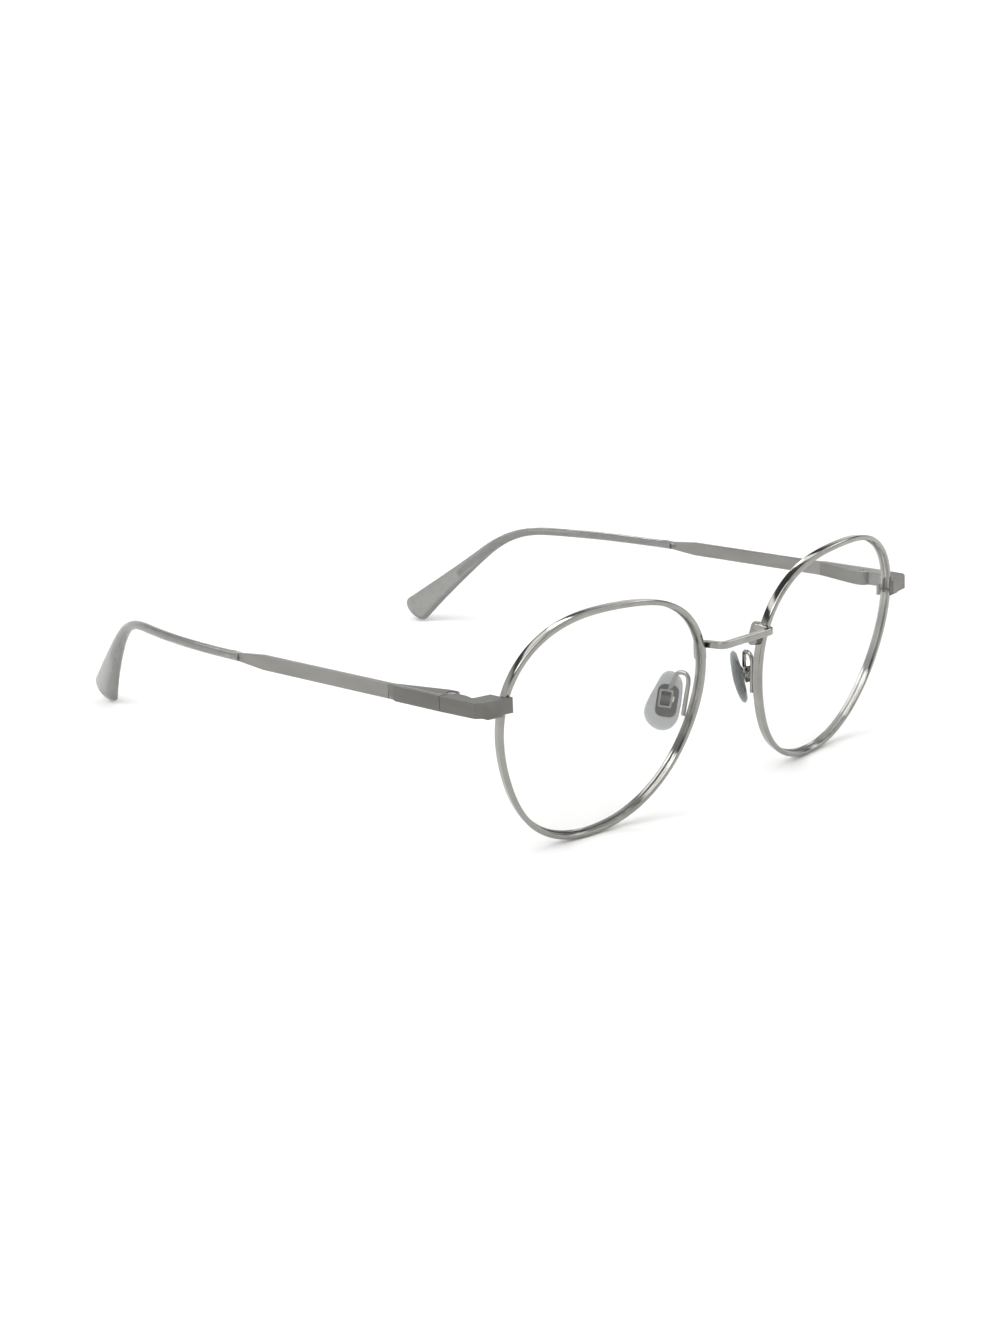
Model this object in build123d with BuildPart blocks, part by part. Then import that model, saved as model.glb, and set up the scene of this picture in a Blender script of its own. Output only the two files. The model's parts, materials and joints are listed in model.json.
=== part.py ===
from build123d import *
from math import cos, pi, radians, sin
import os

os.makedirs("parts", exist_ok=True)

# Round wire eyeglasses, in millimetres and degrees. Every piece is drawn for the wearer's left, which
# is +X, in the frame of the front: X across the face, Y back towards the ears, Z up along the lenses,
# with the origin midway between the rims. The right-hand pieces are mirrored copies. The finished
# glasses are then tilted by STAND_TILT, so that the rims and the temple tips stand on one flat surface.

# Rims and lenses
RIM_X = 34.29            # from the middle of the face to the middle of a rim
RIM_R = 25.0             # mean outside radius of a rim
OUTLINE = (              # order, cosine and sine of each departure from a circle
    (2, 0.83, -0.08),    # wider than high
    (3, -0.13, 1.03),    # fuller above than below
    (4, -0.36, 0.03),    # squarer shoulders
    (5, 0.05, 0.10),
)
OUTLINE_POINTS = 40
WRAP = 6.2               # each rim turns back by this about the vertical
CURVE_R = 139.0          # radius of the lens's front surface
RIM_T = 1.12             # thickness of the rim wire, seen from the front
RIM_D = 2.06             # depth of the rim wire, front to back
RIM_ROUND = 0.3
GROOVE = 0.4             # depth of the lens groove inside the rim
GROOVE_FRONT = 0.65
GROOVE_BACK = 1.35
LENS_FRONT = 0.4         # lens faces, behind the rim's front
LENS_BACK = 1.7
FIT_GAP = 0.02           # air between the lens and its groove
SLIT = 0.12              # half of the gap where the rim wire is split at its lock
SLIT_CUT = 8.0           # size of the saw cut's square, round the lock screw
WALL_DEPTHS = (-3.0, 8.0)    # the rim's side wall is drawn between these depths, past both faces

# Side plane: the hinge, the endpiece and the front of the temple share one flat plan
SLOPE = 10.2             # how far the temples slope down from the front's own level
HINGE_X = 62.4
HINGE_Y = 14.8
HINGE_Z = 5.65
SIDE_H = 2.9             # height of the endpiece and of the temple's front

# Hinge
KNUCKLE_R = 1.45
KNUCKLE_GAP = 0.05
MIDDLE_KNUCKLE_H = 1.05
HINGE_CLEAR = 0.1        # the temple's front end stands this far off the endpiece
HINGE_SCREW_R = 0.6
HINGE_SINK = 0.1         # the hinge screw's head lies this far below the knuckle's top
SCREW_HEAD_R = 0.95
SCREW_HEAD_H = 0.45
SLOT_L = 3.0             # the screwdriver slot runs right across the head
SLOT_W = 0.28
SLOT_D = 0.2
SLOT_TURN = 35.0

# Rim lock
LOCK_SPOT = (61.0, -7.85)    # the lock screw, in the side plane
LOCK_SCREW_R = 0.55
LOCK_SPLIT = 0.1             # half of the gap between the two blocks
LOCK_DROP = 0.75             # the lower block reaches this far below the endpiece
LOCK_BLIND = 0.5             # metal left above the lock screw's hole

# Temple
BLADE_X = 64.43          # middle of the blade at the hinge
BLADE_T = 1.0
BLADE_H = 3.0
BLADE_EDGE = 0.15
NECK_H = 1.7
TAPER_START = 50.5       # lengths along the temple are counted from the hinge
SLEEVE_START = 57.7
CORE_R = 0.62
SPLAY = 0.9              # outward turn of the blade
CURL = 29.7              # inward turn from there to the tip
CURL_START = 46.8
CURL_LENGTH = 94.7
DROP = 37.6              # downward bend behind the ear
DROP_START = 92.7
DROP_LENGTH = 24.0
TWIST = 30.0             # the tip's paddle turns by this to lie flat against the head
TWIST_START = 98.0
TWIST_LENGTH = 22.0
SLEEVE_T = 2.1           # thickness of the sleeve, and how much it gains by the tip
SLEEVE_T_GAIN = 0.5
SLEEVE_H = 1.9           # height of the sleeve, and how much the paddle adds
PADDLE_H = 6.15
PADDLE_START = 98.0
PADDLE_LENGTH = 42.0
PADDLE_POWER = 1.8
SLEEVE_STOPS = (57.7, 62.0, 72.0, 82.0, 92.0, 98.0, 103.0, 108.0, 113.0, 118.0, 123.0, 128.0, 133.0, 137.5)
CORE_STOPS = (56.6, 64.0, 74.0, 84.0, 92.0, 98.0, 104.0, 110.0, 117.0, 124.0)
TIP_ROUND = (            # length, and the shares of the paddle's full thickness and height
    (139.8, 1.0, 0.97),
    (140.8, 0.97, 0.86),
    (141.35, 0.75, 0.62),
)
TIP_LEAN = 14.0          # the paddle's end is cut at a slant, longer on its upper side
LEAN_START = 128.0
LEAN_LENGTH = 12.0
CORE_GAP = 0.03
SECTION_POINTS = 16
PATH_STEP = 0.25
PLATE_SEAT = 0.1         # the front plate sits this deep in the blade's outside
PLATE_FIT = 0.005        # air between them
PLATE_IN = BLADE_X + BLADE_T / 2 - PLATE_SEAT + PLATE_FIT
PLATE_END = 14.3

# Plans in the side plane: x across the face, y back from the hinge
ENDPIECE_PLAN = ((57.96, -11.17), (64.0, -9.8), (65.1, -8.55), (65.5, 0.0), (64.15, 0.0), (64.15, -4.4),
                 (62.75, -5.7), (62.35, -5.85), (62.35, -9.1), (57.96, -9.9))
LOCK_UPPER_PLAN = ((59.0, -9.68), (62.35, -9.1), (62.35, -5.85), (59.0, -6.52))
LOCK_LOWER_PLAN = ((59.0, -9.68), (62.35, -9.1), (62.35, -5.85), (57.85, -6.75), (57.85, -7.35), (59.0, -7.2))
LEAF_FRONT_PLAN = ((64.15, 0.0), (64.15, -4.4), (62.75, -5.7), (62.2, -3.4), (62.2, 0.0))
LEAF_TEMPLE_PLAN = ((BLADE_X - BLADE_T / 2, 0.0), (64.12, 13.2), (61.1, 1.9), (HINGE_X - KNUCKLE_R, 0.0))
PLATE_PLAN = ((PLATE_IN, HINGE_CLEAR), (65.5, HINGE_CLEAR), (65.65, 12.4), (65.2, PLATE_END),
              (PLATE_IN + PLATE_END * sin(radians(SPLAY)), PLATE_END))

# The corner that is cut off the front plate's rear end, in side view: back from the hinge, and up
PLATE_CUT = ((10.0, -2.45), (15.3, -2.45), (15.3, -0.3), (14.1, -0.3))
PLATE_CUT_REACH = 6.0

# Bridge
BRIDGE_X = 7.35          # half of the straight bar, to the corner
BRIDGE_Y = -2.8
BRIDGE_Z = 10.45
BRIDGE_H = 1.35
BRIDGE_D = 1.35
BRIDGE_BEND = 1.2
BRIDGE_EDGE = 0.25
BRIDGE_BACK = 4.4        # length of each leg, going back
BRIDGE_FALL = 10.4       # the legs slope down going back
LEG_SPREAD = 0.95        # how far each leg spreads outwards along its length
LUG_H = 4.9
LUG_D = 2.3
LUG_T = 0.9
LUG_SPOT = (8.45, 1.85, 8.15)
LUG_LEAN = 12.5
LUG_ROUND = 1.1
LUG_REACH = 0.6          # how far past its middle the tab reaches towards the rim

# Nose pads, arms and boxes
ARM_R = 0.44
ARM_PATH = ((10.62, 2.3, -5.2), (9.6, 2.7, 2.95), (10.15, 5.2, 3.05), (11.52, 5.74, -0.93))
ARM_BEND = 1.1
ARM_FOOT = (10.85, 2.0, -4.6)
ARM_FOOT_L = 2.2
ARM_FOOT_W = 1.1
ARM_FOOT_D = 1.0
ARM_FOOT_ROUND = 0.2
PAD_CENTRE = (11.1, 6.8, -3.5)
PAD_ACROSS = (0.614, 0.785, 0.035)
PAD_OUT = (0.736, -0.591, 0.331)
PAD_OUTLINE = ((-0.2, 5.9), (-1.9, 5.2), (-2.9, 3.6), (-3.15, 0.0), (-2.95, -3.4), (-1.8, -5.3),
               (0.0, -5.95), (1.8, -5.5), (3.2, -4.3), (3.8, -2.6), (3.4, -0.4), (2.4, 2.4), (1.3, 5.1))
PAD_T = 1.9
PAD_FACE_ROUND = 0.8
PAD_BACK_ROUND = 0.5
INSERT_W = 4.2
INSERT_L = 6.4
INSERT_T = 0.5
INSERT_ROUND = 1.4
INSERT_SPOT = (-0.35, 0)
BOX_W = 2.7
BOX_L = 3.6
BOX_H = 1.75
BOX_WALL = 0.4
BOX_ROUND = 0.24
BOX_RISE = 1.3           # from the pad's middle plane to the near face of the box
BOX_SHIFT = 0.5          # the box sits this far above the pad's middle
PAD_LUG_W = 1.8
PAD_LUG_L = 1.2
PAD_LUG_TOP = 2.75       # from the pad's middle plane to the top of the lug
PIN_RISE = 2.05          # from the pad's middle plane to the pad screw
PIN_R = 0.4
PIN_FIT = 0.04
PIN_HEAD_R = 0.7
PIN_HEAD_H = 0.35

STAND_TILT = 7.11        # the front leans back by this when the glasses stand

SAG = RIM_R ** 2 / (2 * CURVE_R)
RIM_PLANE = Plane(origin=(RIM_X, 0, 0), x_dir=(cos(radians(WRAP)), sin(radians(WRAP)), 0),
                  z_dir=(sin(radians(WRAP)), -cos(radians(WRAP)), 0))
SIDE_PLANE = Plane(origin=(0, HINGE_Y, HINGE_Z), x_dir=(1, 0, 0),
                   z_dir=(0, sin(radians(SLOPE)), cos(radians(SLOPE))))
PAD_PLANE = Plane(origin=PAD_CENTRE, x_dir=PAD_ACROSS, z_dir=PAD_OUT)


def outline(inset, scale):
    """Points of the rim's outline, moved inwards by inset and then scaled."""
    points = []
    for step in range(OUTLINE_POINTS):
        a = 2 * pi * step / OUTLINE_POINTS
        r = RIM_R - inset + sum(c * cos(n * a) + s * sin(n * a) for n, c, s in OUTLINE)
        points.append((scale * r * cos(a), scale * r * sin(a)))
    return points


def rim_cone(inset):
    """A solid bounded by the rim's side wall, which narrows towards the lens curve's centre."""
    with BuildPart() as cone:
        for depth in WALL_DEPTHS:
            with BuildSketch(RIM_PLANE.offset(-depth)):
                with BuildLine():
                    Spline(outline(inset, (CURVE_R - depth) / (CURVE_R - SAG)), periodic=True)
                make_face()
        loft(ruled=True)
    return cone.part


def layer(front, back):
    """The curved layer between two depths behind the lens curve."""
    with BuildPart(RIM_PLANE.offset(-CURVE_R)) as shell:
        Sphere(CURVE_R - front)
        Sphere(CURVE_R - back, mode=Mode.SUBTRACT)
    return shell.part


def rim_space(gap):
    """The whole disc that the rim's outside bounds, from its front to its back, grown by a gap."""
    with BuildPart() as space:
        add(rim_cone(-gap))
        add(layer(-gap, RIM_D + gap), mode=Mode.INTERSECT)
    return space.part


def rim():
    """One rim: a closed wire with a groove for the lens, split at the lock."""
    with BuildPart() as piece:
        add(rim_cone(0))
        add(rim_cone(RIM_T), mode=Mode.SUBTRACT)
        add(layer(0, RIM_D), mode=Mode.INTERSECT)
        fillet(piece.edges().filter_by(lambda e: e.length > RIM_D * 2), RIM_ROUND)
        with BuildPart(mode=Mode.PRIVATE) as groove:
            add(rim_cone(RIM_T - GROOVE))
            add(layer(GROOVE_FRONT, GROOVE_BACK), mode=Mode.INTERSECT)
        add(groove.part, mode=Mode.SUBTRACT)
        with BuildSketch(SIDE_PLANE):
            with Locations(LOCK_SPOT):
                Rectangle(SLIT_CUT, SLIT_CUT)
        extrude(amount=SLIT, both=True, mode=Mode.SUBTRACT)
    return piece.part


def lens():
    """One lens, with the tongue round its edge that sits in the rim's groove."""
    with BuildPart() as piece:
        add(rim_cone(RIM_T + FIT_GAP))
        add(layer(LENS_FRONT, LENS_BACK), mode=Mode.INTERSECT)
        with BuildPart(mode=Mode.PRIVATE) as tongue:
            add(rim_cone(RIM_T - GROOVE + FIT_GAP))
            add(layer(GROOVE_FRONT + FIT_GAP, GROOVE_BACK - FIT_GAP), mode=Mode.INTERSECT)
        add(tongue.part)
    return piece.part


def smooth(share):
    """Ease from 0 to 1."""
    share = min(max(share, 0.0), 1.0)
    return share * share * (3 - 2 * share)


def temple_direction(length):
    """Which way the temple's middle line runs, at a length from the hinge."""
    pitch = radians(-SLOPE - DROP * smooth((length - DROP_START) / DROP_LENGTH))
    yaw = radians(SPLAY - CURL * smooth((length - CURL_START) / CURL_LENGTH))
    return Vector(sin(yaw) * cos(pitch), cos(yaw) * cos(pitch), sin(pitch))


def temple_spot(length):
    """The point on the temple's middle line, at a length from the hinge."""
    spot = Vector(BLADE_X, HINGE_Y, HINGE_Z)
    steps = round(length / PATH_STEP)
    for step in range(steps):
        spot += temple_direction((step + 0.5) * length / steps) * (length / steps)
    return spot


def temple_section(length, twist, lean):
    """The plane across the temple: its x runs through the thickness, its y up the height. It is twisted
    about the temple's own direction, and leans so that its upper side is further along."""
    along = temple_direction(length)
    across = Vector(0, 0, 1).cross(along).normalized()
    x_dir = across * cos(radians(twist)) + along.cross(across) * sin(radians(twist))
    z_dir = along * cos(radians(lean)) - along.cross(x_dir) * sin(radians(lean))
    return Plane(origin=temple_spot(length), x_dir=x_dir, z_dir=z_dir)


def sleeve_section(length):
    """A section of the sleeve, at a length from the hinge: its plane, half its thickness and half its
    height. It twists towards the tip, and leans so that the tip is longer on its upper side."""
    paddle = min(max(0.0, (length - PADDLE_START) / PADDLE_LENGTH), 1.0)
    thickness = SLEEVE_T + SLEEVE_T_GAIN * paddle
    height = SLEEVE_H + PADDLE_H * paddle ** PADDLE_POWER
    lean = TIP_LEAN * smooth((length - LEAN_START) / LEAN_LENGTH)
    twist = TWIST * smooth((length - TWIST_START) / TWIST_LENGTH)
    return temple_section(length, twist, lean), thickness / 2, height / 2 / cos(radians(lean))


def core(grow):
    """The round wire inside the sleeve."""
    with BuildPart() as wire:
        for length in CORE_STOPS:
            with BuildSketch(temple_section(length, 0, 0)):
                Circle(CORE_R + grow)
        loft()
    return wire.part


def temple_sleeve():
    """The translucent sleeve over the temple's end, widening into a twisted paddle."""
    with BuildPart() as piece:
        for length, fill_t, fill_h in [(length, 1.0, 1.0) for length in SLEEVE_STOPS] + list(TIP_ROUND):
            plane, half_t, half_h = sleeve_section(length)
            turns = [2 * pi * step / SECTION_POINTS for step in range(SECTION_POINTS)]
            with BuildSketch(plane):
                with BuildLine():
                    Spline([(fill_t * half_t * cos(a), fill_h * half_h * sin(a)) for a in turns], periodic=True)
                make_face()
        loft()
        add(core(CORE_GAP), mode=Mode.SUBTRACT)
    return piece.part


def temple_blade():
    """The flat metal blade, seated for the front plate, tapering to a neck and on into the core wire."""
    flat = Plane(origin=(BLADE_X, HINGE_Y, HINGE_Z), x_dir=temple_direction(0),
                 z_dir=temple_direction(0).cross(Vector(0, 0, 1)))
    with BuildPart() as piece:
        with BuildSketch(flat):
            with BuildLine():
                Polyline((HINGE_CLEAR, -BLADE_H / 2), (TAPER_START, -BLADE_H / 2),
                         (SLEEVE_START - HINGE_CLEAR, -NECK_H / 2), (SLEEVE_START - HINGE_CLEAR, NECK_H / 2),
                         (TAPER_START, BLADE_H / 2), (HINGE_CLEAR, BLADE_H / 2), close=True)
            make_face()
        extrude(amount=BLADE_T / 2, both=True)
        chamfer(piece.edges().filter_by(lambda e: e.length > BLADE_H), BLADE_EDGE)
        with BuildSketch(flat.offset(BLADE_T / 2 - PLATE_SEAT)):
            with Locations((PLATE_END / 2, 0)):
                Rectangle(PLATE_END, BLADE_H)
        extrude(amount=PLATE_SEAT, mode=Mode.SUBTRACT)
        add(core(0))
    return piece.part


def side_prism(points, low, high):
    """A plan in the side plane, raised from one height to another."""
    with BuildPart() as prism:
        with BuildSketch(SIDE_PLANE.offset(low)):
            with BuildLine():
                Polyline(*points, close=True)
            make_face()
        extrude(amount=high - low)
    return prism.part


def side_rod(spot, radius, low, high):
    """A round bar square to the side plane."""
    with BuildPart() as rod:
        with BuildSketch(SIDE_PLANE.offset(low)):
            with Locations(spot):
                Circle(radius)
        extrude(amount=high - low)
    return rod.part


def endpiece():
    """The L-shaped endpiece: a tongue over the rim's front, a bevelled corner and a side leg."""
    half = SIDE_H / 2
    with BuildPart() as piece:
        add(side_prism(ENDPIECE_PLAN, -half, half))
        add(rim_space(FIT_GAP), mode=Mode.SUBTRACT)
    return piece.part


def lock_block_upper():
    """The block on the rim wire's upper end, with a blind hole for the lock screw."""
    with BuildPart() as piece:
        add(side_prism(LOCK_UPPER_PLAN, LOCK_SPLIT, SIDE_H / 2))
        add(rim_space(FIT_GAP), mode=Mode.SUBTRACT)
        add(side_rod(LOCK_SPOT, LOCK_SCREW_R, LOCK_SPLIT, SIDE_H / 2 - LOCK_BLIND), mode=Mode.SUBTRACT)
    return piece.part


def lock_block_lower():
    """The block on the wire's lower end, with the screw's head sunk in it and a thin plate behind the rim."""
    low = -SIDE_H / 2 - LOCK_DROP
    with BuildPart() as piece:
        add(side_prism(LOCK_LOWER_PLAN, low, -LOCK_SPLIT))
        add(rim_space(FIT_GAP), mode=Mode.SUBTRACT)
        add(side_rod(LOCK_SPOT, LOCK_SCREW_R + PIN_FIT, low, -LOCK_SPLIT), mode=Mode.SUBTRACT)
        add(side_rod(LOCK_SPOT, SCREW_HEAD_R + PIN_FIT, low, low + SCREW_HEAD_H), mode=Mode.SUBTRACT)
    return piece.part


def screw(spot, shank_r, tail, seat, top):
    """A slotted screw square to the side plane, from its tail to the head between seat and top."""
    with BuildPart() as piece:
        add(side_rod(spot, shank_r, min(tail, seat), max(tail, seat)))
        add(side_rod(spot, SCREW_HEAD_R, min(seat, top), max(seat, top)))
        with BuildSketch(SIDE_PLANE.offset(top)):
            with Locations(spot):
                Rectangle(SLOT_L, SLOT_W, rotation=SLOT_TURN)
        extrude(amount=SLOT_D, both=True, mode=Mode.SUBTRACT)
    return piece.part


def lock_screw():
    low = -SIDE_H / 2 - LOCK_DROP
    return screw(LOCK_SPOT, LOCK_SCREW_R, SIDE_H / 2 - LOCK_BLIND, low + SCREW_HEAD_H, low)


def hinge_screw():
    half = SIDE_H / 2
    return screw((HINGE_X, 0), HINGE_SCREW_R, -half, half - SCREW_HEAD_H - HINGE_SINK, half - HINGE_SINK)


def hinge_front():
    """The front leaf of the hinge, with the middle knuckle."""
    half = SIDE_H / 2
    middle = MIDDLE_KNUCKLE_H / 2
    with BuildPart() as piece:
        add(side_prism(LEAF_FRONT_PLAN, -half, half))
        for low, high in ((-half, -middle), (middle, half)):
            add(side_rod((HINGE_X, 0), KNUCKLE_R + KNUCKLE_GAP, low, high), mode=Mode.SUBTRACT)
        add(side_rod((HINGE_X, 0), KNUCKLE_R, -middle, middle))
        add(side_rod((HINGE_X, 0), HINGE_SCREW_R, -half, half), mode=Mode.SUBTRACT)
    return piece.part


def hinge_temple():
    """The temple's leaf of the hinge: a wedge along the blade, with the two outer knuckles."""
    half = SIDE_H / 2
    middle = MIDDLE_KNUCKLE_H / 2 + KNUCKLE_GAP
    with BuildPart() as piece:
        add(side_prism(LEAF_TEMPLE_PLAN, -half, half))
        add(side_rod((HINGE_X, 0), KNUCKLE_R, -half, half))
        add(side_rod((HINGE_X, 0), KNUCKLE_R + KNUCKLE_GAP, -middle, middle), mode=Mode.SUBTRACT)
        add(side_rod((HINGE_X, 0), HINGE_SCREW_R + PIN_FIT, -half, half), mode=Mode.SUBTRACT)
        add(side_rod((HINGE_X, 0), SCREW_HEAD_R + PIN_FIT, half - SCREW_HEAD_H - HINGE_SINK, half),
            mode=Mode.SUBTRACT)
    return piece.part


def temple_plate():
    """The thicker outer plate at the temple's front, with a bevelled, cut-back rear end."""
    profile = Plane(origin=(HINGE_X, HINGE_Y, HINGE_Z), x_dir=SIDE_PLANE.y_dir, z_dir=SIDE_PLANE.x_dir)
    with BuildPart() as piece:
        add(side_prism(PLATE_PLAN, -SIDE_H / 2, SIDE_H / 2))
        with BuildSketch(profile):
            with BuildLine():
                Polyline(*PLATE_CUT, close=True)
            make_face()
        extrude(amount=PLATE_CUT_REACH, mode=Mode.SUBTRACT)
    return piece.part


def bridge_plane():
    """The plane of the bridge's plan: x across, y back along the falling legs."""
    back = Vector(0, cos(radians(BRIDGE_FALL)), -sin(radians(BRIDGE_FALL)))
    return Plane(origin=(0, BRIDGE_Y, BRIDGE_Z), x_dir=(1, 0, 0), z_dir=Vector(1, 0, 0).cross(back))


def lug_block():
    """The rounded tab at each end of the bridge, before it is fitted to the rim."""
    plane = Plane(origin=LUG_SPOT, x_dir=(0, 1, 0), z_dir=(cos(radians(LUG_LEAN)), 0, -sin(radians(LUG_LEAN))))
    with BuildPart() as block:
        with BuildSketch(plane.offset(-LUG_T / 2)):
            RectangleRounded(LUG_D, LUG_H, LUG_ROUND)
        extrude(amount=LUG_T / 2 + LUG_REACH)
    return block.part


def bridge_lug():
    """The tab that joins the bridge to the rim's side and laps a little behind it."""
    with BuildPart() as piece:
        add(lug_block())
        add(rim_space(FIT_GAP), mode=Mode.SUBTRACT)
    return piece.part


def bridge():
    """A bar across the nose, bowed forward, with a leg going back to each rim."""
    with BuildPart() as piece:
        with BuildSketch(bridge_plane()):
            with BuildLine() as middle:
                FilletPolyline((-BRIDGE_X - LEG_SPREAD, BRIDGE_BACK), (-BRIDGE_X, 0), (BRIDGE_X, 0),
                               (BRIDGE_X + LEG_SPREAD, BRIDGE_BACK), radius=BRIDGE_BEND)
            trace(middle.edges(), BRIDGE_D)
        extrude(amount=BRIDGE_H / 2, both=True)
        faces = piece.faces().sort_by(Axis((0, 0, 0), bridge_plane().z_dir))
        fillet(faces[0].edges() + faces[-1].edges(), BRIDGE_EDGE)
        with BuildPart(mode=Mode.PRIVATE) as lugs:
            add(lug_block())
            mirror(lug_block(), about=Plane.YZ)
        add(lugs.part, mode=Mode.SUBTRACT)
    return piece.part


def pad_prism(width, length, low, high, spot=(0, 0)):
    """A block on the pad's plane: width across, length up, between two heights off the pad."""
    with BuildPart() as prism:
        with BuildSketch(PAD_PLANE.offset(low)):
            with Locations(spot):
                Rectangle(width, length)
        extrude(amount=high - low)
    return prism.part


def pad_pin(radius, low, high):
    """A round bar across the pad box, on the axis that the pad rocks about."""
    axis_plane = Plane(origin=PAD_PLANE.from_local_coords((0, BOX_SHIFT, PIN_RISE)), z_dir=PAD_PLANE.x_dir)
    with BuildPart() as rod:
        with BuildSketch(axis_plane.offset(low)):
            Circle(radius)
        extrude(amount=high - low)
    return rod.part


def insert_plate():
    """The stiff plate in the pad's back, which is also the shape of the pad's pocket."""
    with BuildPart() as plate:
        with BuildSketch(PAD_PLANE.offset(PAD_T / 2 - INSERT_T)):
            with Locations(INSERT_SPOT):
                RectangleRounded(INSERT_W, INSERT_L, INSERT_ROUND)
        extrude(amount=INSERT_T)
    return plate.part


def nose_pad():
    """The soft pad: a drop-shaped cushion with a pocket for its insert."""
    with BuildPart() as piece:
        with BuildSketch(PAD_PLANE.offset(-PAD_T / 2)):
            with BuildLine():
                Spline(*PAD_OUTLINE, periodic=True)
            make_face()
        extrude(amount=PAD_T)
        fillet(piece.edges().group_by(Axis(PAD_PLANE.origin, PAD_PLANE.z_dir))[0], PAD_FACE_ROUND)
        fillet(piece.edges().group_by(Axis(PAD_PLANE.origin, PAD_PLANE.z_dir))[-1], PAD_BACK_ROUND)
        add(insert_plate(), mode=Mode.SUBTRACT)
    return piece.part


def pad_insert():
    """The stiff plate in the pad, with the lug that the pad screw passes through."""
    with BuildPart() as piece:
        add(insert_plate())
        add(pad_prism(PAD_LUG_W, PAD_LUG_L, PAD_T / 2, PAD_LUG_TOP, (0, BOX_SHIFT)))
        add(pad_pin(PIN_R + PIN_FIT, -BOX_W, BOX_W), mode=Mode.SUBTRACT)
    return piece.part


def pad_box():
    """The small open box on the arm's end, which holds the pad by its screw."""
    top = BOX_RISE + BOX_H
    with BuildPart() as piece:
        add(pad_prism(BOX_W, BOX_L, BOX_RISE, top, (0, BOX_SHIFT)))
        add(pad_prism(BOX_W - 2 * BOX_WALL, BOX_L - 2 * BOX_WALL, BOX_RISE, top, (0, BOX_SHIFT)),
            mode=Mode.SUBTRACT)
        fillet(piece.edges().filter_by(Axis(PAD_PLANE.origin, PAD_PLANE.z_dir)), BOX_ROUND)
        add(pad_pin(PIN_R, -BOX_W, BOX_W), mode=Mode.SUBTRACT)
    return piece.part


def pad_screw():
    """The screw across the pad box, with its head on the box's rear side."""
    with BuildPart() as piece:
        add(pad_pin(PIN_R, -BOX_W / 2, BOX_W / 2))
        add(pad_pin(PIN_HEAD_R, -BOX_W / 2 - PIN_HEAD_H, -BOX_W / 2))
    return piece.part


def pad_arm():
    """The bent wire from the rim's back up and over to the pad box, with a foot on the rim."""
    with BuildPart() as piece:
        with BuildLine() as path:
            FilletPolyline(*ARM_PATH, radius=ARM_BEND)
        with BuildSketch(Plane(origin=path.line @ 0, z_dir=path.line % 0)):
            Circle(ARM_R)
        sweep(path=path.line)
        foot = Plane(origin=ARM_FOOT, x_dir=(1, 0, 0), z_dir=Vector(ARM_PATH[1]) - Vector(ARM_PATH[0]))
        with BuildSketch(foot.offset(-ARM_FOOT_L / 2)):
            RectangleRounded(ARM_FOOT_W, ARM_FOOT_D, ARM_FOOT_ROUND)
        extrude(amount=ARM_FOOT_L)
        add(rim_space(FIT_GAP), mode=Mode.SUBTRACT)
        add(pad_prism(BOX_W, BOX_L, BOX_RISE, BOX_RISE + BOX_H, (0, BOX_SHIFT)), mode=Mode.SUBTRACT)
    return piece.part


PAIRS = {
    "rim": rim,
    "lens": lens,
    "endpiece": endpiece,
    "rim_lock_upper": lock_block_upper,
    "rim_lock_lower": lock_block_lower,
    "rim_lock_screw": lock_screw,
    "hinge_leaf_front": hinge_front,
    "hinge_screw": hinge_screw,
    "bridge_lug": bridge_lug,
    "pad_arm": pad_arm,
    "pad_box": pad_box,
    "pad_screw": pad_screw,
    "pad_insert": pad_insert,
    "nose_pad": nose_pad,
    "hinge_leaf_temple": hinge_temple,
    "temple_plate": temple_plate,
    "temple_blade": temple_blade,
    "temple_sleeve": temple_sleeve,
}

pieces = {"bridge": bridge()}
for name, make in PAIRS.items():
    pieces[name + "_left"] = make()
    with BuildPart() as twin:
        mirror(pieces[name + "_left"], about=Plane.YZ)
    pieces[name + "_right"] = twin.part

tilted = {name: piece.moved(Location((0, 0, 0), (STAND_TILT, 0, 0))) for name, piece in pieces.items()}
box = Compound(children=[Compound(piece.wrapped) for piece in tilted.values()]).bounding_box()
floor = Location((0, -(box.min.Y + box.max.Y) / 2, -box.min.Z))
for name, piece in tilted.items():
    placed = piece.moved(Location(floor))
    placed.label = name
    export_step(placed, f"parts/{name}.step")
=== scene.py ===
import json
from math import cos, pi, radians, sin, tan

import bmesh
import bpy
import numpy as np
from mathutils import Matrix, Vector

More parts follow.
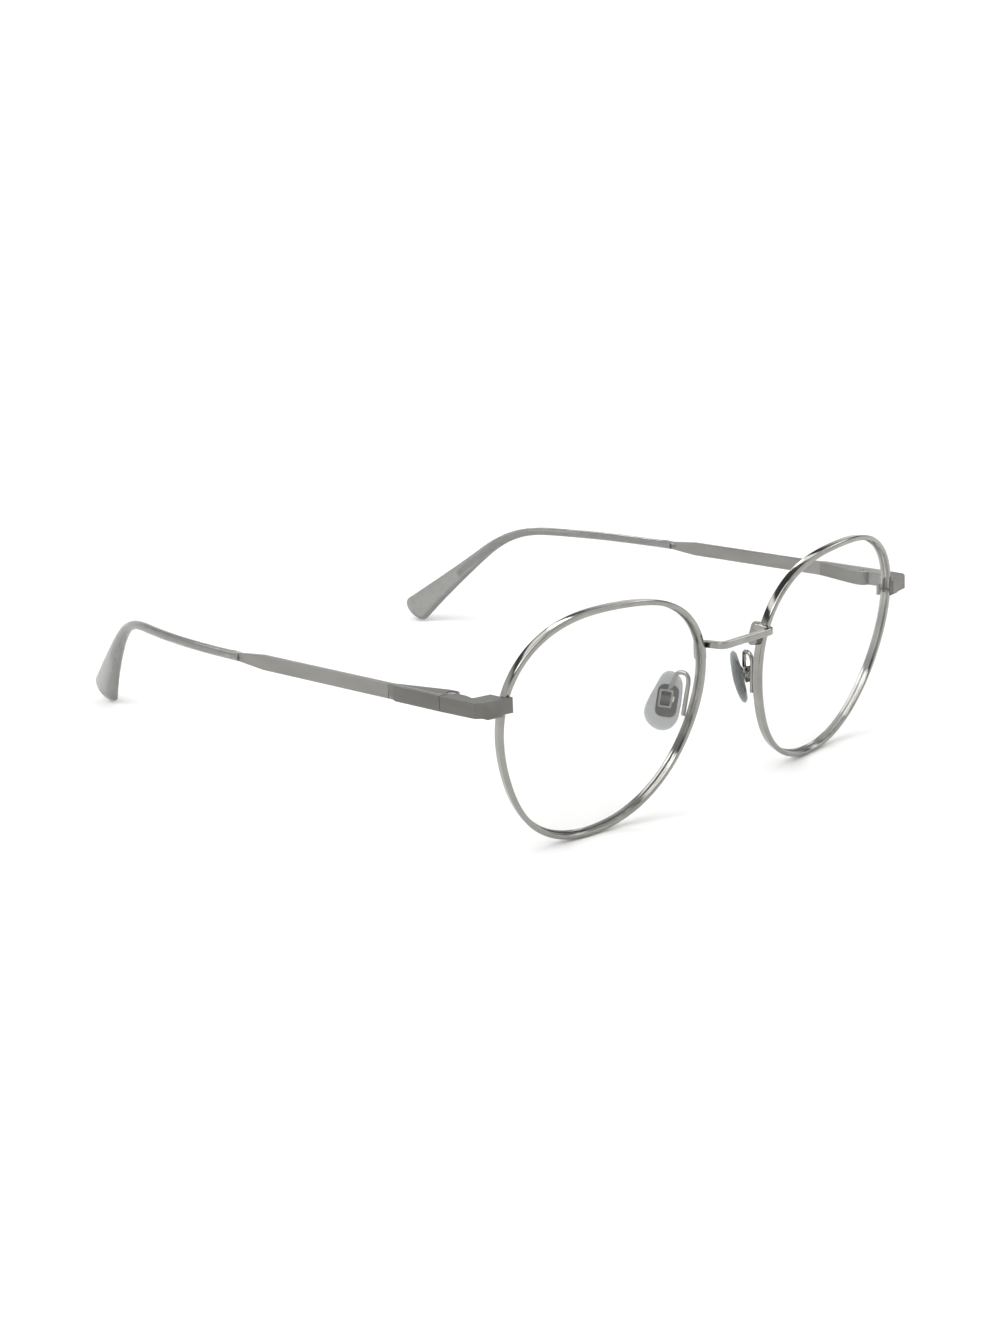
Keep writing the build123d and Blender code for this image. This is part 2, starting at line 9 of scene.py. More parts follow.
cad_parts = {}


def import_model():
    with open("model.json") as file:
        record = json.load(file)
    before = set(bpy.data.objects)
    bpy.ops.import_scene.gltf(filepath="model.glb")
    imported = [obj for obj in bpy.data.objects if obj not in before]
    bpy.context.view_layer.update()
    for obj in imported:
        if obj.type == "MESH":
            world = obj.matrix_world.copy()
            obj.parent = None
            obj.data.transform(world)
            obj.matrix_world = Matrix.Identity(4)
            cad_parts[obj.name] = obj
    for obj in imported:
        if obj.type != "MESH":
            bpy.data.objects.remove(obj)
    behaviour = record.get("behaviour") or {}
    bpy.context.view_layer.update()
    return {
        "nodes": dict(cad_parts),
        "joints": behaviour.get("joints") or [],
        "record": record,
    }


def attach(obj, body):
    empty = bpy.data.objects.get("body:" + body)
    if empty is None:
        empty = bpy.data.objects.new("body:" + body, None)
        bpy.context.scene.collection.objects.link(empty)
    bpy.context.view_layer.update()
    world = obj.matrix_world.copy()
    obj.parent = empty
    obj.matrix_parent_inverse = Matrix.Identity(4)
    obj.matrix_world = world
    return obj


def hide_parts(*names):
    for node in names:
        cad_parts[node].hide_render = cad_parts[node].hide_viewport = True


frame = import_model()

# Round wire eyeglasses. The CAD nodes give every place and size; this script gives the looks. The pieces
# that it builds are drawn for the wearer's left, in millimetres, in the frame of the front: X across the
# face, Y back towards the ears, Z up along the lenses, as in the CAD source. to_row() takes them into the
# row frame.

MM = 0.001
SIDES = {"left": 1, "right": -1}

# Driving dimensions, the same as the CAD source's
STAND_TILT = 7.11
HINGE = (62.4, 14.8, 5.65)
RIM_X = 34.29
RIM_R = 25.0
OUTLINE = ((2, 0.83, -0.08), (3, -0.13, 1.03), (4, -0.36, 0.03), (5, 0.05, 0.10))
WRAP = 6.2
CURVE_R = 139.0
RIM_T = 1.12
RIM_D = 2.06
GROOVE = 0.4
GROOVE_FRONT = 0.65
GROOVE_BACK = 1.35
LENS_FRONT = 0.4
LENS_BACK = 1.7
FIT_GAP = 0.02
LOCK_ANGLE = 15.35       # where the rim wire is split, round from the rim's outer side
LOCK_GAP = 0.25          # half of the split, in degrees
SLOPE = 10.2
BLADE_X = 64.43
SPLAY = 0.9
CURL = 29.7
CURL_START = 46.8
CURL_LENGTH = 94.7
DROP = 37.6
DROP_START = 92.7
DROP_LENGTH = 24.0
TWIST = 30.0
TWIST_START = 98.0
TWIST_LENGTH = 22.0
SLEEVE_START = 57.7
SLEEVE_END = 141.35
SLEEVE_T = 2.1
SLEEVE_T_GAIN = 0.5
SLEEVE_H = 1.9
PADDLE_H = 6.15
PADDLE_START = 98.0
PADDLE_LENGTH = 42.0
PADDLE_POWER = 1.8
TIP_LEAN = 14.0          # the paddle's end is cut at a slant, longer on its upper side
LEAN_START = 128.0
LEAN_LENGTH = 12.0
BORE_R = 0.6             # the core wire is pressed into the sleeve
BORE_END = 124.0
MOUTH_ROUND = ((0.0, 0.8), (0.03, 0.9), (0.1, 0.96), (0.2, 0.99))    # length in, share of the full size
MOUTH_LENGTH = 0.4
TIP_ROUND_T = 0.9        # how far from the tip its thickness and its height start to round off
TIP_ROUND_H = 2.4
TIP_FULLNESS = 2.2       # 2 is an ellipse, and more is squarer
PAD_CENTRE = (11.1, 6.8, -3.5)
PAD_ACROSS = (0.614, 0.785, 0.035)
PAD_OUT = (0.736, -0.591, 0.331)
PAD_OUTLINE = ((-0.2, 5.9), (-1.9, 5.2), (-2.9, 3.6), (-3.15, 0.0), (-2.95, -3.4), (-1.8, -5.3),
               (0.0, -5.95), (1.8, -5.5), (3.2, -4.3), (3.8, -2.6), (3.4, -0.4), (2.4, 2.4), (1.3, 5.1))
PAD_T = 1.9
INSERT_W = 4.2
INSERT_L = 6.4
INSERT_T = 0.5
INSERT_ROUND = 1.4
INSERT_SPOT = (-0.35, 0.0)
ARM_PATH = ((10.62, 2.3, -5.2), (9.6, 2.7, 2.95), (10.15, 5.2, 3.05), (11.52, 5.74, -0.93))
ARM_R = 0.44

# The rim section's corner radii, from its outer front corner round through the groove
RIM_ROUNDS = (0.42, 0.3, 0.06, 0.02, 0.02, 0.06, 0.3, 0.34)

# The pad's crown, from its pocket over the edge to its face: share of the way out, height off its middle
PAD_BACK_CROWN = ((0.5, 0.94), (0.8, 0.86))
PAD_FACE_CROWN = ((0.92, 0.74), (0.98, 0.54), (1.0, 0.3), (0.985, 0.05), (0.95, -0.17), (0.88, -0.36),
                  (0.77, -0.54), (0.6, -0.71), (0.4, -0.83), (0.2, -0.92))

# How finely the meshes are divided: points round a ring, and rings along a piece
RIM_RINGS = 361
LENS_AROUND = 240
LENS_RINGS = 14
CORNER_STEPS = 5
SLEEVE_AROUND = 64
SLEEVE_RINGS = 110
BORE_RINGS = 60
TIP_RINGS = 30
PAD_AROUND = 96
PAD_OUTLINE_STEPS = 480
POCKET_STEPS = 12
WIRE_AROUND = 28
ARM_RINGS = 70
SHARP_ANGLE = 38.0       # edges sharper than this are shaded as crisp


# ---------------------------------------------------------------- geometry helpers

tilt = np.array(Matrix.Rotation(radians(STAND_TILT), 3, "X"))
hinge_joint = next(j for j in frame["joints"] if j["name"] == "temple_left_fold")
lift = np.array(hinge_joint["pos_m"]) - tilt @ (np.array(HINGE) * MM)


def to_row(points, side):
    """Points of the left-hand drawing, in the row frame, on the left (side 1) or the right (side -1)."""
    points = np.asarray(points, float) * (side, 1, 1) * MM
    return points @ tilt.T + lift


def unit(v):
    v = np.asarray(v, float)
    return v / np.linalg.norm(v, axis=-1, keepdims=True)


def smooth(share):
    share = np.clip(share, 0, 1)
    return share * share * (3 - 2 * share)


def skin(name, rings, side, closed=False):
    """A closed mesh over rings of points. Unless the rings close on each other, each end is a flat cap,
    or a point where the end ring is a single place."""
    rings = np.asarray(rings, float)
    count, around = rings.shape[:2]
    points = to_row(rings.reshape(-1, 3), side)
    faces = []
    for i in range(count if closed else count - 1):
        for j in range(around):
            a, b = i * around + j, i * around + (j + 1) % around
            c, d = ((i + 1) % count) * around + (j + 1) % around, ((i + 1) % count) * around + j
            faces.append((a, b, c, d))
    if not closed:
        faces.append(tuple(reversed(range(around))))
        faces.append(tuple(range((count - 1) * around, count * around)))
    mesh = bpy.data.meshes.new(name)
    mesh.from_pydata(points.tolist(), [], faces)
    piece = bpy.data.objects.new(name, mesh)
    bpy.context.scene.collection.objects.link(piece)
    tidy_mesh(mesh)
    return piece


def tidy_mesh(mesh):
    """Merges the points of a pole, turns all faces outwards and shades smooth with crisp edges."""
    work = bmesh.new()
    work.from_mesh(mesh)
    bmesh.ops.remove_doubles(work, verts=work.verts, dist=1e-7)
    bmesh.ops.dissolve_degenerate(work, edges=work.edges, dist=1e-7)
    bmesh.ops.recalc_face_normals(work, faces=work.faces)
    work.to_mesh(mesh)
    work.free()
    mesh.shade_smooth()
    mesh.set_sharp_from_angle(angle=radians(SHARP_ANGLE))


def dress(piece, material, slot, body, *nodes):
    """Gives a new piece its material and its body, and hides the CAD nodes that it stands for."""
    piece.data.materials.clear()
    piece.data.materials.append(material)
    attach(piece, body)
    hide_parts(*nodes)
    return piece


def round_corners(corners, radius, steps=CORNER_STEPS):
    """A closed outline with rounded corners: corners are (x, y), radius one value or one for each."""
    corners = [np.array(c, float) for c in corners]
    radii = [radius] * len(corners) if np.isscalar(radius) else radius
    points = []
    for i, corner in enumerate(corners):
        before, after = corners[i - 1], corners[(i + 1) % len(corners)]
        a, b = unit(before - corner), unit(after - corner)
        half = np.arccos(np.clip(a @ b, -1, 1)) / 2
        if radii[i] == 0:
            points.append(corner)
            continue
        centre = corner + unit(a + b) * radii[i] / sin(half)
        start = corner + a * radii[i] / np.tan(half) - centre
        end = corner + b * radii[i] / np.tan(half) - centre
        for step in range(steps + 1):
            t = step / steps
            arc = unit(start) * (1 - t) + unit(end) * t
            points.append(centre + unit(arc) * radii[i])
    return np.array(points)


# ---------------------------------------------------------------- rims and lenses

SAG = RIM_R ** 2 / (2 * CURVE_R)
RIM_AXES = np.array([(cos(radians(WRAP)), sin(radians(WRAP)), 0), (0, 0, 1),
                     (sin(radians(WRAP)), -cos(radians(WRAP)), 0)])


def on_rim(angle, inset, depth, share=1.0):
    """A point of the rim or lens: an angle round it, how far inside the rim's outside, how deep behind the
    lens curve, and the share of the way out from the middle."""
    r = RIM_R - inset + sum(c * np.cos(n * angle) + s * np.sin(n * angle) for n, c, s in OUTLINE)
    ray = unit(np.stack([share * r * np.cos(angle), share * r * np.sin(angle),
                         np.full_like(r, CURVE_R - SAG)], -1))
    local = ray * (CURVE_R - np.asarray(depth)[..., None]) - (0, 0, CURVE_R)
    return local @ RIM_AXES + (RIM_X, 0, 0)


def rim_section():
    """The rim wire's section as (inset, depth): a softly crowned bar with the lens groove inside."""
    return round_corners([
        (0.0, 0.0), (RIM_T, 0.0), (RIM_T, GROOVE_FRONT), (RIM_T - GROOVE, GROOVE_FRONT),
        (RIM_T - GROOVE, GROOVE_BACK), (RIM_T, GROOVE_BACK), (RIM_T, RIM_D), (0.0, RIM_D),
    ], RIM_ROUNDS)


def rim(side_name, side):
    """The rim wire, once round from one side of the split at the lock to the other."""
    gap = radians(LOCK_GAP)
    angles = radians(LOCK_ANGLE) + np.linspace(gap, 2 * pi - gap, RIM_RINGS)
    section = rim_section()
    rings = [on_rim(np.full(len(section), a), section[:, 0], section[:, 1]) for a in angles]
    return skin("rim_wire_" + side_name, rings, side)


def lens(side_name, side):
    """The curved lens, with the tongue round its edge that sits in the rim's groove."""
    angles = np.linspace(0, 2 * pi, LENS_AROUND, endpoint=False)
    inside, tongue = RIM_T + FIT_GAP, RIM_T - GROOVE + FIT_GAP
    shares = np.sin(np.linspace(0, pi / 2, LENS_RINGS))
    edge = [(inside, LENS_BACK), (inside, GROOVE_BACK - FIT_GAP), (tongue, GROOVE_BACK - FIT_GAP),
            (tongue, GROOVE_FRONT + FIT_GAP), (inside, GROOVE_FRONT + FIT_GAP), (inside, LENS_FRONT)]
    rings = [on_rim(angles, inside, LENS_BACK, s) for s in shares[:-1]]
    rings += [on_rim(angles, inset, depth) for inset, depth in edge]
    rings += [on_rim(angles, inside, LENS_FRONT, s) for s in shares[-2::-1]]
    return skin("lens_sheet_" + side_name, rings, side)


# ---------------------------------------------------------------- temples

PATH_STEP = 0.25
path_lengths = np.arange(0, SLEEVE_END + PATH_STEP, PATH_STEP)


def temple_direction(length):
    """Which way the temple's middle line runs, at a length from the hinge."""
    pitch = np.radians(-SLOPE - DROP * smooth((length - DROP_START) / DROP_LENGTH))
    yaw = np.radians(SPLAY - CURL * smooth((length - CURL_START) / CURL_LENGTH))
    return np.stack([np.sin(yaw) * np.cos(pitch), np.cos(yaw) * np.cos(pitch), np.sin(pitch)], -1)


path_points = np.array((BLADE_X, HINGE[1], HINGE[2])) + np.concatenate(
    [[(0, 0, 0)], np.cumsum(temple_direction(path_lengths[:-1] + PATH_STEP / 2) * PATH_STEP, 0)])


def temple_ring(length, half_t, half_h, angles):
    """A ring of an elliptical section across the temple."""
    centre = np.array([np.interp(length, path_lengths, path_points[:, i]) for i in range(3)])
    along = temple_direction(length)
    across = unit(np.cross((0, 0, 1), along))
    up = np.cross(along, across)
    turn = radians(TWIST) * smooth((length - TWIST_START) / TWIST_LENGTH)
    x, y = across * cos(turn) + up * sin(turn), -across * sin(turn) + up * cos(turn)
    lean = tan(radians(TIP_LEAN)) * smooth((length - LEAN_START) / LEAN_LENGTH)
    return centre + np.outer(half_t * np.cos(angles), x) + np.outer(half_h * np.sin(angles), y + lean * along)


def sleeve_size(length):
    """Half thickness and half height of the sleeve."""
    share = min(max(0.0, (length - PADDLE_START) / PADDLE_LENGTH), 1.0)
    return (SLEEVE_T + SLEEVE_T_GAIN * share) / 2, (SLEEVE_H + PADDLE_H * share ** PADDLE_POWER) / 2


def tip_share(length, size):
    """How much of the full section is left where the tip rounds off over its last size millimetres."""
    near = max(0.0, 1 - (SLEEVE_END - length) / size)
    return max(0.0, 1 - near ** TIP_FULLNESS) ** (1 / TIP_FULLNESS)


def sleeve(side_name, side):
    """The translucent tip: a blind bore for the core wire, a rounded mouth and a twisted, rounded paddle."""
    angles = np.linspace(0, 2 * pi, SLEEVE_AROUND, endpoint=False)
    rings = [temple_ring(BORE_END, 0, 0, angles)]
    for length in np.linspace(BORE_END, SLEEVE_START, BORE_RINGS):
        rings.append(temple_ring(length, BORE_R, BORE_R, angles))
    for length, share in MOUTH_ROUND:
        half_t, half_h = sleeve_size(SLEEVE_START)
        rings.append(temple_ring(SLEEVE_START + length, half_t * share, half_h * share, angles))
    tip_start = SLEEVE_END - TIP_ROUND_H
    lengths = np.concatenate([np.linspace(SLEEVE_START + MOUTH_LENGTH, tip_start, SLEEVE_RINGS),
                              tip_start + TIP_ROUND_H * np.sin(np.linspace(0.05, 1, TIP_RINGS) * pi / 2)])
    for length in lengths:
        half_t, half_h = sleeve_size(length)
        share_t, share_h = tip_share(length, TIP_ROUND_T), tip_share(length, TIP_ROUND_H)
        rings.append(temple_ring(length, half_t * share_t, half_h * share_h, angles))
    return skin("tip_sleeve_" + side_name, rings, side)


# ---------------------------------------------------------------- nose pads and arms

pad_z = unit(PAD_OUT)
pad_x = unit(np.array(PAD_ACROSS) - np.dot(PAD_ACROSS, pad_z) * pad_z)
PAD_AXES = np.array([pad_x, np.cross(pad_z, pad_x), pad_z])


def closed_curve(points, count):
    """A smooth closed curve through the points (Catmull-Rom), with count points."""
    points = np.array(points, float)
    n = len(points)
    made = []
    for step in range(count):
        place = step * n / count
        i, t = int(place), place - int(place)
        a, b, c, d = (points[(i + k) % n] for k in (-1, 0, 1, 2))
        made.append(0.5 * (2 * b + (c - a) * t + (2 * a - 5 * b + 4 * c - d) * t ** 2
                           + (3 * b - a - 3 * c + d) * t ** 3))
    return np.array(made)


def by_angle(outline, centre, angles):
    """Points of a closed outline at given angles about a centre."""
    rel = outline - centre
    found = np.arctan2(rel[:, 1], rel[:, 0])
    order = np.argsort(found)
    radius = np.interp(angles, found[order], np.hypot(*rel.T)[order], period=2 * pi)
    return centre + np.stack([radius * np.cos(angles), radius * np.sin(angles)], -1)


def nose_pad(side_name, side):
    """The soft pad: a crowned drop with thin edges, and a pocket at its back for the stiff insert."""
    angles = np.linspace(0, 2 * pi, PAD_AROUND, endpoint=False)
    centre = np.array(INSERT_SPOT)
    middle = np.tile(centre, (PAD_AROUND, 1))
    edge = by_angle(closed_curve(PAD_OUTLINE, PAD_OUTLINE_STEPS), centre, angles)
    w, l = INSERT_W / 2, INSERT_L / 2
    pocket = round_corners([(w, l), (-w, l), (-w, -l), (w, -l)], INSERT_ROUND, POCKET_STEPS)
    plate = by_angle(centre + pocket, centre, angles)
    back = PAD_T / 2
    levels = [(middle, back - INSERT_T), (plate, back - INSERT_T), (plate, back)]
    levels += [(plate + (edge - plate) * share, height) for share, height in PAD_BACK_CROWN]
    levels += [(centre + (edge - centre) * share, height) for share, height in PAD_FACE_CROWN]
    levels.append((middle, -back))
    rings = [np.column_stack([flat, np.full(PAD_AROUND, height)]) for flat, height in levels]
    return skin("soft_pad_" + side_name, np.array(rings) @ PAD_AXES + PAD_CENTRE, side)


def spline(points, count):
    """A smooth open curve that starts and ends at its first and last points and is drawn to the others."""
    points = np.array(points, float)
    n = len(points)
    knots = np.concatenate([[0, 0], np.linspace(0, 1, n - 1), [1, 1]])
    made = []
    for t in np.linspace(0, 1, count):
        t = min(t, 1 - 1e-9)
        k = np.searchsorted(knots, t, "right") - 1
        d = [points[j] for j in range(k - 2, k + 1)]
        for r in (1, 2):
            for j in range(2, r - 1, -1):
                low, high = knots[k - 2 + j], knots[k + 1 + j - r]
                share = (t - low) / (high - low)
                d[j] = (1 - share) * d[j - 1] + share * d[j]
        made.append(d[2])
    return np.array(made)


def wire(name, points, radius, side):
    """A round wire along a smooth curve."""
    along = unit(np.gradient(points, axis=0))
    across = unit(np.cross(along[0], (0, 0, 1)))
    angles = np.linspace(0, 2 * pi, WIRE_AROUND, endpoint=False)
    rings = []
    for point, direction in zip(points, along):
        across = unit(across - (across @ direction) * direction)
        up = np.cross(direction, across)
        rings.append(point + radius * (np.outer(np.cos(angles), across) + np.outer(np.sin(angles), up)))
    return skin(name, rings, side)


def pad_arm(side_name, side):
    """The bent wire from the rim's back up and over to the pad box."""
    foot, knee, crest, drop = (np.array(p) for p in ARM_PATH)
    route = [foot, foot + (knee - foot) * 0.45, knee, crest, crest + (drop - crest) * 0.42, drop]
    return wire("arm_wire_" + side_name, spline(route, ARM_RINGS), ARM_R, side)


# ---------------------------------------------------------------- materials

class Nodes:
    """Short names for building a node material."""

    def __init__(self, name):
        self.material = bpy.data.materials.new(name)
        self.material.use_nodes = True
        self.tree = self.material.node_tree
        self.tree.nodes.clear()
        self.out = self.tree.nodes.new("ShaderNodeOutputMaterial")

    def add(self, kind, **inputs):
        node = self.tree.nodes.new("ShaderNode" + kind)
        for key, value in inputs.items():
            self.set(node, key.replace("_", " "), value)
        return node

    def set(self, node, key, value):
        if isinstance(value, bpy.types.NodeSocket):
            self.tree.links.new(value, node.inputs[key])
        else:
            node.inputs[key].default_value = value

    def place(self, stretch):
        """The row frame's coordinates, in metres, scaled along each axis."""
        where = self.add("TexCoord").outputs["Object"]
        return self.add("Mapping", Vector=where, Scale=stretch).outputs["Vector"]

    def noise(self, stretch, detail=4.0, roughness=0.55):
        node = self.add("TexNoise", Vector=self.place(stretch), Scale=1.0, Detail=detail, Roughness=roughness)
        return node.outputs["Fac"]

    def spread(self, factor, low, high):
        """A value that runs from low to high as the noise runs through its middle range."""
        node = self.add("MapRange", Value=factor)
        for key, value in (("From Min", 0.3), ("From Max", 0.7), ("To Min", low), ("To Max", high)):
            node.inputs[key].default_value = value
        return node.outputs["Result"]

    def tint(self, factor, dark, light):
        node = self.tree.nodes.new("ShaderNodeMix")
        node.data_type = "RGBA"
        self.tree.links.new(factor, node.inputs[0])
        node.inputs[6].default_value = (*dark, 1)
        node.inputs[7].default_value = (*light, 1)
        return node.outputs[2]

    def bump(self, height, strength, distance):
        return self.add("Bump", Height=height, Strength=strength, Distance=distance).outputs["Normal"]

    def finish(self, surface, volume=None):
        self.tree.links.new(surface, self.out.inputs["Surface"])
        if volume:
            self.tree.links.new(volume, self.out.inputs["Volume"])
        return self.material


def polished_metal():
    """Warm gunmetal plating, polished: clear reflections over a faint waviness, with wiped patches."""
    n = Nodes("polished_gunmetal")
    wiped = n.noise((260, 260, 260), 3)
    grain = n.noise((3200, 3200, 3200), 2)
    fine = n.bump(grain, 0.12, 0.00002)
    shader = n.add("BsdfPrincipled", Metallic=1.0, Roughness=n.spread(wiped, 0.06, 0.13), Normal=fine)
    n.set(shader, "Base Color", n.tint(n.spread(wiped, 0, 1), (0.27, 0.264, 0.246), (0.34, 0.334, 0.314)))
    return n.finish(shader.outputs[0])


def satin_metal(name, dark, light):
    """The same plating brushed lengthwise: fine streaks that run back along the temples."""
    n = Nodes(name)
    streaks = n.noise((2600, 45, 2600), 5, 0.65)
    cloud = n.noise((180, 60, 180), 2)
    brushed = n.bump(streaks, 0.35, 0.00003)
    shader = n.add("BsdfPrincipled", Metallic=1.0, Roughness=n.spread(streaks, 0.27, 0.4), Normal=brushed)
    n.set(shader, "Base Color", n.tint(n.spread(cloud, 0, 1), dark, light))
    return n.finish(shader.outputs[0])


def screw_steel():
    """Turned steel, a little brighter than the plating."""
    n = Nodes("turned_steel")
    turned = n.noise((4200, 4200, 900), 3)
    shader = n.add("BsdfPrincipled", Metallic=1.0, Roughness=n.spread(turned, 0.2, 0.34),
                   Normal=n.bump(turned, 0.3, 0.00002))
    n.set(shader, "Base Color", n.tint(n.spread(turned, 0, 1), (0.5, 0.5, 0.49), (0.62, 0.62, 0.6)))
    return n.finish(shader.outputs[0])


def lens_clear():
    """Clear demonstration lens: lets the light through, a touch grey, with a gloss that grows at a slant."""
    n = Nodes("clear_lens")
    haze = n.noise((90, 90, 90), 2)
    tone = n.tint(n.spread(haze, 0, 1), (0.948, 0.949, 0.947), (0.956, 0.957, 0.955))
    clear = n.add("BsdfTransparent", Color=tone)
    gloss = n.add("BsdfGlossy", Color=(1, 1, 1, 1), Roughness=n.spread(haze, 0.01, 0.03))
    outer = n.add("Math", Value=1.0)
    outer.operation = "SUBTRACT"
    n.tree.links.new(n.add("NewGeometry").outputs["Backfacing"], outer.inputs[1])
    slant = n.add("Math")
    slant.operation = "MULTIPLY"
    n.tree.links.new(n.add("Fresnel", IOR=1.45).outputs[0], slant.inputs[0])
    n.tree.links.new(outer.outputs[0], slant.inputs[1])
    mixed = n.add("MixShader", Fac=slant.outputs[0])
    n.tree.links.new(clear.outputs[0], mixed.inputs[1])
    n.tree.links.new(gloss.outputs[0], mixed.inputs[2])
    return n.finish(mixed.outputs[0])


def tip_plastic():
    """Translucent smoke-grey tip: clear plastic tinted through its depth, with moulding ripples."""
    n = Nodes("smoke_tip")
    ripple = n.noise((420, 420, 420), 2)
    shader = n.add("BsdfPrincipled", Roughness=n.spread(ripple, 0.06, 0.13), IOR=1.47,
                   Normal=n.bump(ripple, 0.08, 0.00005))
    n.set(shader, "Base Color", n.tint(n.spread(ripple, 0, 1), (0.4, 0.4, 0.385), (0.46, 0.46, 0.445)))
    n.set(shader, "Transmission Weight", 0.6)
    depth = n.add("VolumeAbsorption", Color=(0.55, 0.55, 0.53, 1), Density=350.0)
    return n.finish(shader.outputs[0], depth.outputs[0])


def pad_silicone():
    """Soft translucent silicone: a cool grey haze with a skin that is not quite glossy."""
    n = Nodes("pad_silicone")
    skin_noise = n.noise((900, 900, 900), 3)
    wrinkle = n.bump(skin_noise, 0.15, 0.00004)
    tone = n.tint(n.spread(skin_noise, 0, 1), (0.3, 0.32, 0.32), (0.35, 0.37, 0.37))
    shader = n.add("BsdfPrincipled", Roughness=n.spread(skin_noise, 0.22, 0.34), IOR=1.41, Normal=wrinkle)
    n.set(shader, "Base Color", tone)
    clear = n.add("BsdfTransparent", Color=(1, 1, 1, 1))
    mixed = n.add("MixShader", Fac=0.35)
    n.tree.links.new(clear.outputs[0], mixed.inputs[1])
    n.tree.links.new(shader.outputs[0], mixed.inputs[2])
    depth = n.add("VolumeAbsorption", Color=(0.5, 0.52, 0.52, 1), Density=750.0)
    return n.finish(mixed.outputs[0], depth.outputs[0])


def floor_paper():
    """The studio's white paper."""
    n = Nodes("white_paper")
    fibre = n.noise((35, 35, 35), 4)
    shader = n.add("BsdfPrincipled", Roughness=0.9)
    n.set(shader, "Base Color", n.tint(n.spread(fibre, 0, 1), (0.93, 0.93, 0.925), (0.95, 0.95, 0.945)))
    return n.finish(shader.outputs[0])


MATERIALS = {
    "polished_metal": polished_metal(),
    "satin_metal": satin_metal("satin_gunmetal", (0.14, 0.136, 0.126), (0.185, 0.181, 0.168)),
    "blade_metal": satin_metal("blade_gunmetal", (0.235, 0.23, 0.216), (0.285, 0.28, 0.264)),
    "screw_steel": screw_steel(),
    "lens": lens_clear(),
    "tip_sleeve": tip_plastic(),
    "pad_silicone": pad_silicone(),
    "pad_core": satin_metal("pad_steel", (0.1, 0.1, 0.095), (0.15, 0.15, 0.143)),
}


# ---------------------------------------------------------------- the object

EDGE = 0.07 * MM         # how far the CAD pieces' sharp edges are broken
NOT_BROKEN = ("rim", "lens", "pad_arm", "nose_pad", "temple_sleeve")


def break_edges(node):
    """Breaks the sharp edges of a CAD node with a small rounded bevel."""
    bevel = node.modifiers.new("edge_break", "BEVEL")
    bevel.width = EDGE
    bevel.segments = 2
    bevel.limit_method = "ANGLE"
    bevel.angle_limit = radians(32)
    bevel.harden_normals = False
    bevel.use_clamp_overlap = True


slots = {entry["node"]: entry["material_slot"] for entry in frame["record"]["subparts"]}
for name, node in frame["nodes"].items():
    node.data.materials.clear()
    node.data.materials.append(MATERIALS[slots[name]])
    if not name.startswith(NOT_BROKEN):
        break_edges(node)

for side_name, side in SIDES.items():
    made = (
        (rim, "polished_metal", "front", "rim_"),
        (lens, "lens", "front", "lens_"),
        (sleeve, "tip_sleeve", "temple_" + side_name, "temple_sleeve_"),
        (pad_arm, "polished_metal", "front", "pad_arm_"),
        (nose_pad, "pad_silicone", "nose_pad_" + side_name, "nose_pad_"),
    )
    for make, slot, body, node in made:
        dress(make(side_name, side), MATERIALS[slot], slot, body, node + side_name)


# ---------------------------------------------------------------- floor, light and camera

FLOOR_R = 30.0


def floor():
    mesh = bpy.data.meshes.new("studio_floor")
    ring = [(FLOOR_R * cos(a), FLOOR_R * sin(a), 0) for a in np.linspace(0, 2 * pi, 96, endpoint=False)]
    mesh.from_pydata(ring, [], [tuple(range(96))])
    mesh.materials.append(floor_paper())
    piece = bpy.data.objects.new("studio_floor", mesh)
    bpy.context.scene.collection.objects.link(piece)


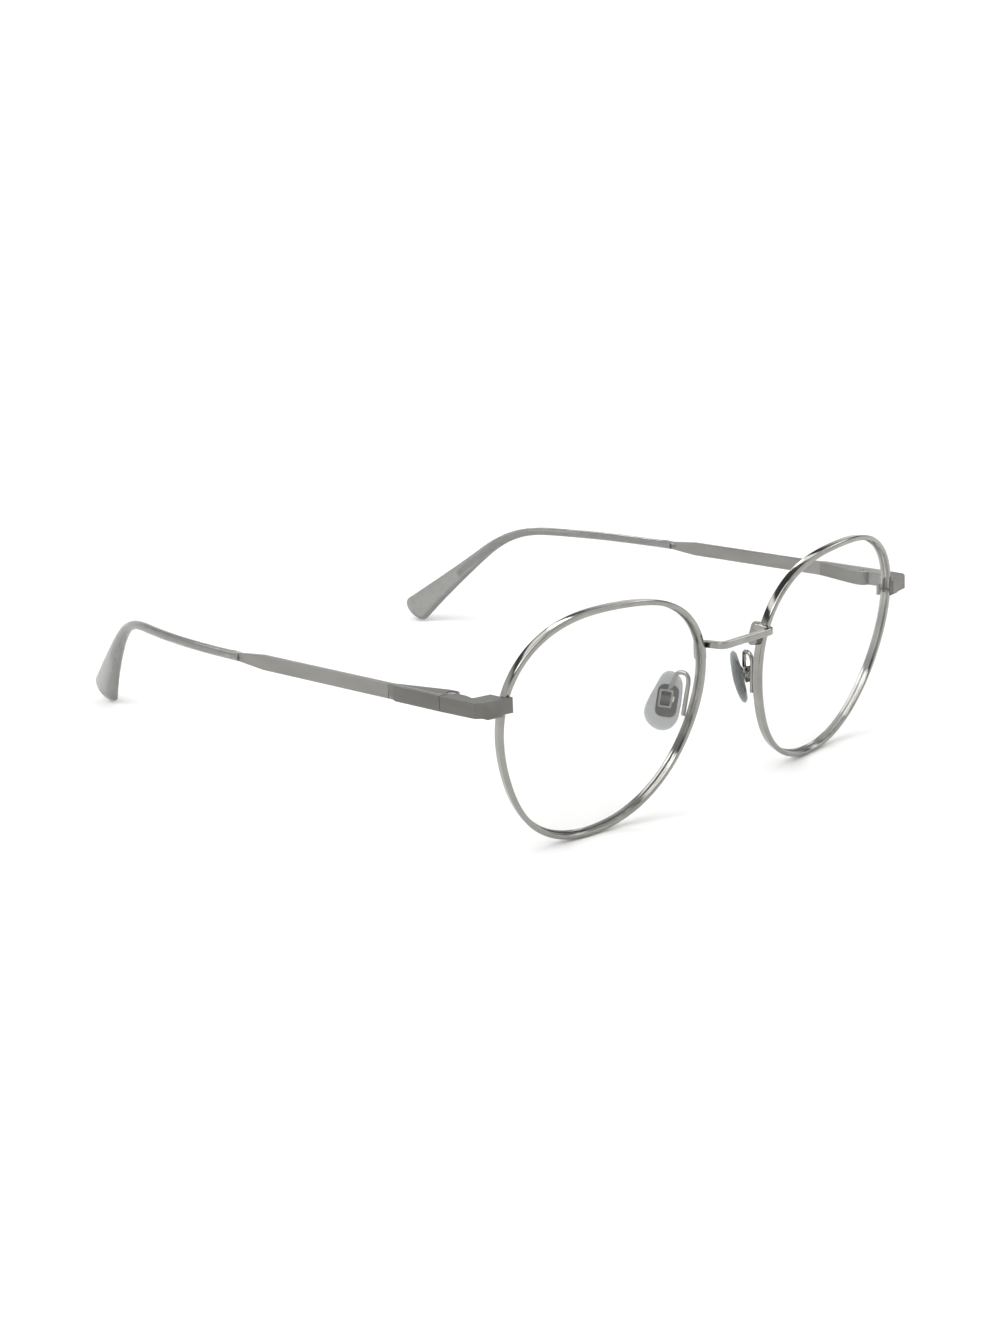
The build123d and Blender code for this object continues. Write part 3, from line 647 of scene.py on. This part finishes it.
def world():
    """A white studio wall at the horizon, under a darker ceiling with a bright band of lamps round it."""
    sky = bpy.data.worlds.new("studio")
    sky.use_nodes = True
    tree = sky.node_tree
    tree.nodes.clear()
    where = tree.nodes.new("ShaderNodeTexCoord")
    split = tree.nodes.new("ShaderNodeSeparateXYZ")
    ramp = tree.nodes.new("ShaderNodeValToRGB")
    back = tree.nodes.new("ShaderNodeBackground")
    out = tree.nodes.new("ShaderNodeOutputWorld")
    tree.links.new(where.outputs["Generated"], split.inputs[0])
    tree.links.new(split.outputs["Z"], ramp.inputs[0])
    tree.links.new(ramp.outputs[0], back.inputs["Color"])
    tree.links.new(back.outputs[0], out.inputs[0])
    stops = ((0.0, 1.0), (0.2, 1.0), (0.3, 0.7), (0.38, 0.12), (0.5, 0.12), (0.53, 2.2), (0.64, 2.2),
             (0.68, 0.12), (0.9, 0.12), (1.0, 0.6))
    while len(ramp.color_ramp.elements) < len(stops):
        ramp.color_ramp.elements.new(0.5)
    for element, (place, grey) in zip(ramp.color_ramp.elements, stops):
        element.position = place
        element.color = (grey, grey, grey, 1)
    bpy.context.scene.world = sky


def sun(name, azimuth, elevation, strength, spread):
    """A very large soft light, far away, shining from a direction."""
    light = bpy.data.lights.new(name, "SUN")
    light.energy = strength
    light.angle = radians(spread)
    lamp = bpy.data.objects.new(name, light)
    a, e = radians(azimuth), radians(elevation)
    back = Vector((sin(a) * cos(e), -cos(a) * cos(e), sin(e)))
    lamp.rotation_mode = "QUATERNION"
    lamp.rotation_quaternion = (-back).to_track_quat("-Z", "Y")
    bpy.context.scene.collection.objects.link(lamp)


CAMERA_AZIMUTH = -44.971
CAMERA_ELEVATION = 16.765
CAMERA_ROLL = -0.173
CAMERA_DISTANCE = 0.44555
CAMERA_AIM = (-0.03139, -0.03819, 0.02736)
CAMERA_LENS = 61.06


def camera():
    data = bpy.data.cameras.new("camera")
    data.lens = CAMERA_LENS
    data.sensor_width = 36
    data.clip_start, data.clip_end = 0.01, 200
    a, e, r = radians(CAMERA_AZIMUTH), radians(CAMERA_ELEVATION), radians(CAMERA_ROLL)
    back = Vector((sin(a) * cos(e), -cos(a) * cos(e), sin(e)))
    level = (-back).cross(Vector((0, 0, 1))).normalized()
    above = level.cross(-back)
    right, up = level * cos(r) + above * sin(r), above * cos(r) - level * sin(r)
    eye = bpy.data.objects.new("camera", data)
    eye.matrix_world = Matrix((
        (right.x, up.x, back.x, CAMERA_AIM[0] + back.x * CAMERA_DISTANCE),
        (right.y, up.y, back.y, CAMERA_AIM[1] + back.y * CAMERA_DISTANCE),
        (right.z, up.z, back.z, CAMERA_AIM[2] + back.z * CAMERA_DISTANCE),
        (0, 0, 0, 1)))
    bpy.context.scene.collection.objects.link(eye)
    bpy.context.scene.camera = eye


floor()
world()
sun("key_light", -100, 55, 1.6, 50)
sun("fill_light", 60, 60, 0.8, 80)
sun("strip_light", 150, 35, 0.25, 14)
camera()
bpy.context.scene.view_settings.view_transform = "Standard"
